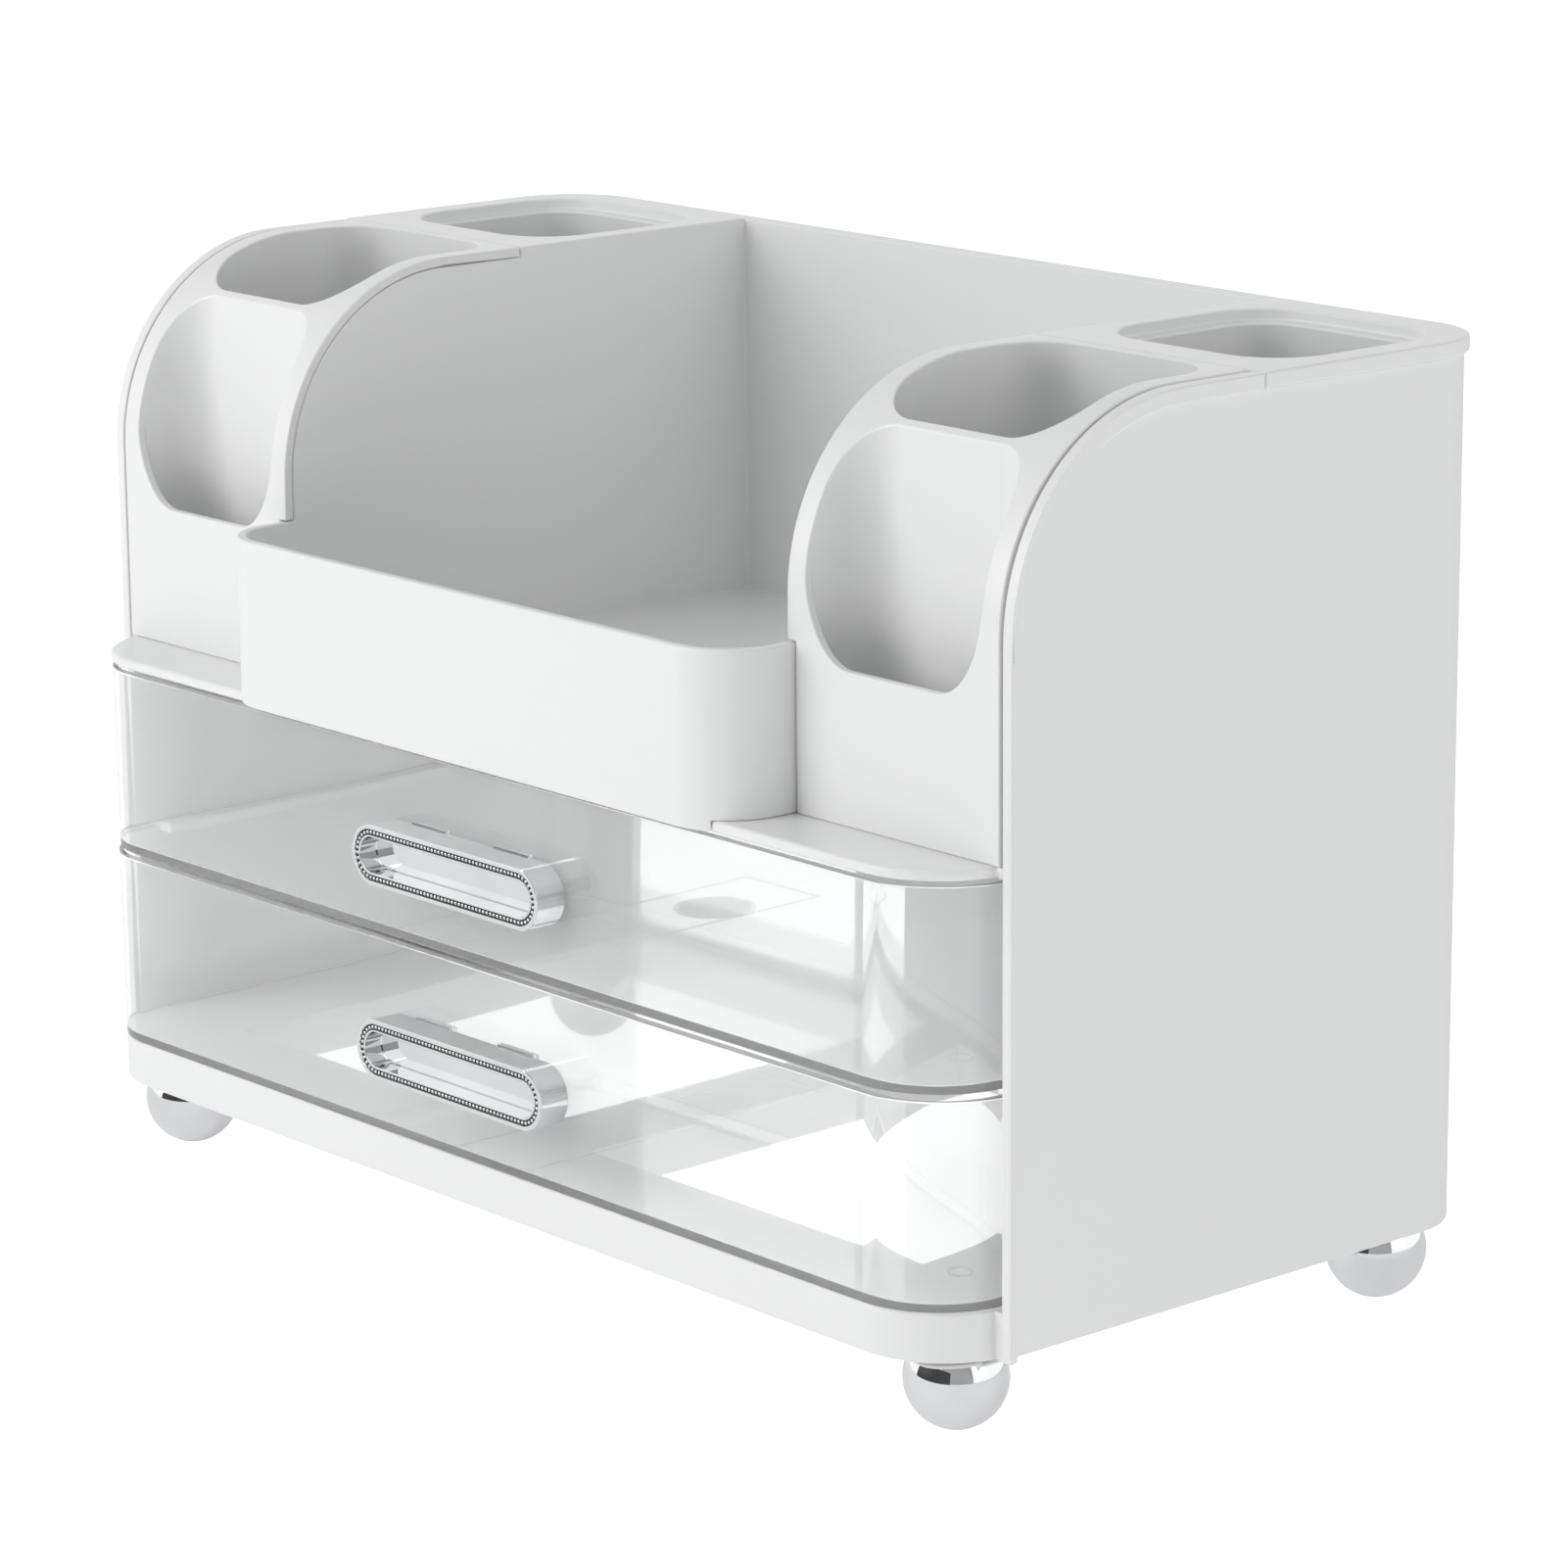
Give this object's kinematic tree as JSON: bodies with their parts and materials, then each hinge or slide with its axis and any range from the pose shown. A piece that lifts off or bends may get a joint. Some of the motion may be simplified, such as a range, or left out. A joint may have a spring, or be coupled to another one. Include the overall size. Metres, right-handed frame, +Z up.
{
  "type": "brush holder with drawers",
  "caption": "Tabletop cosmetics organiser: open bin with a low tray wall between two brush towers, over clear drawers that slide forward, on ball feet.",
  "frame": {"origin": "middle of the footprint, on the table that the ball feet stand on", "axes": "+X to the viewer's right along the width, +Y from the drawer fronts to the back, +Z up"},
  "size_m": [0.3324, 0.1784, 0.2295],
  "materials": {
    "white_plastic": "glossy moulded white",
    "clear_plastic": "polished clear",
    "chrome_plating": "bright plated",
    "stud_steel": "zinc plated"
  },
  "bodies": {
    "cabinet": {"base_plinth": "white_plastic", "left_side_panel": "white_plastic", "right_side_panel": "white_plastic", "back_panel": "white_plastic", "deck": "white_plastic", "upper_body": "white_plastic", "left_brush_insert": "white_plastic", "right_brush_insert": "white_plastic", "foot_front_left": "chrome_plating", "foot_front_right": "chrome_plating", "foot_rear_left": "chrome_plating", "foot_rear_right": "chrome_plating", "foot_studs": "stud_steel"},
    "upper_drawer": {"upper_drawer": "clear_plastic", "upper_handle": "chrome_plating"},
    "lower_drawer": {"lower_drawer": "clear_plastic", "lower_handle": "chrome_plating"}
  },
  "joints": [
    {"name": "upper_drawer_slide", "type": "slide", "parent": "cabinet", "child": "upper_drawer", "axis": [0, -1, 0], "range_m": [0, 0.11]},
    {"name": "lower_drawer_slide", "type": "slide", "parent": "cabinet", "child": "lower_drawer", "axis": [0, -1, 0], "range_m": [0, 0.11]}
  ]
}
